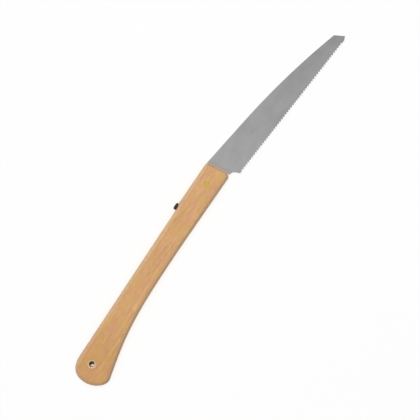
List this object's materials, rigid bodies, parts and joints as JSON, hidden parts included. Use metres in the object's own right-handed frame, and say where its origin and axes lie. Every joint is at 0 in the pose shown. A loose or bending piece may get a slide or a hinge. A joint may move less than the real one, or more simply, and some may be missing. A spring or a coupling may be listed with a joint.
{
  "type": "pull saw",
  "caption": "Pull saw with a long curved wooden handle, a hang hole, and a thin toothed steel blade whose tang is clamped in the handle by a screw in the spine.",
  "frame": {"origin": "centre of the hang hole, half way through the handle", "axes": "+X along the tang towards the blade's tip, +Y towards the spine, +Z square to the blade, up when the saw lies on its side"},
  "size_m": [0.5522, 0.0599, 0.019],
  "materials": {
    "handle_wood": "pale close-grained wood, sanded, satin varnish",
    "blade_steel": "matte ground steel plate",
    "channel_steel": "plain folded sheet",
    "pin_brass": "sanded flush with the wood",
    "insert_steel": "zinc plated",
    "black_screw": "black oxide, satin"
  },
  "bodies": {
    "handle": {"handle": "handle_wood", "tang_channel": "channel_steel", "channel_pin": "pin_brass", "threaded_insert": "insert_steel"},
    "blade": {"blade": "blade_steel"},
    "screw_washer": {"screw_washer": "black_screw"},
    "clamp_screw": {"clamp_screw": "black_screw"}
  },
  "joints": [
    {"name": "blade_slide", "type": "slide", "parent": "handle", "child": "blade", "axis": [1, 0, 0], "range_m": [0, 0.095]},
    {"name": "screw_lift", "type": "slide", "parent": "handle", "child": "screw_washer", "axis": [0, 1, 0], "range_m": [0, 0.004]},
    {"name": "screw_turn", "type": "hinge", "parent": "screw_washer", "child": "clamp_screw", "pos_m": [0.2266, 0.0233, 0], "axis": [0, 1, 0], "range_deg": [0, 1800]}
  ],
  "couplings": [
    {"joint": "screw_turn", "follows": "screw_lift", "rad_per_m": 7854}
  ]
}
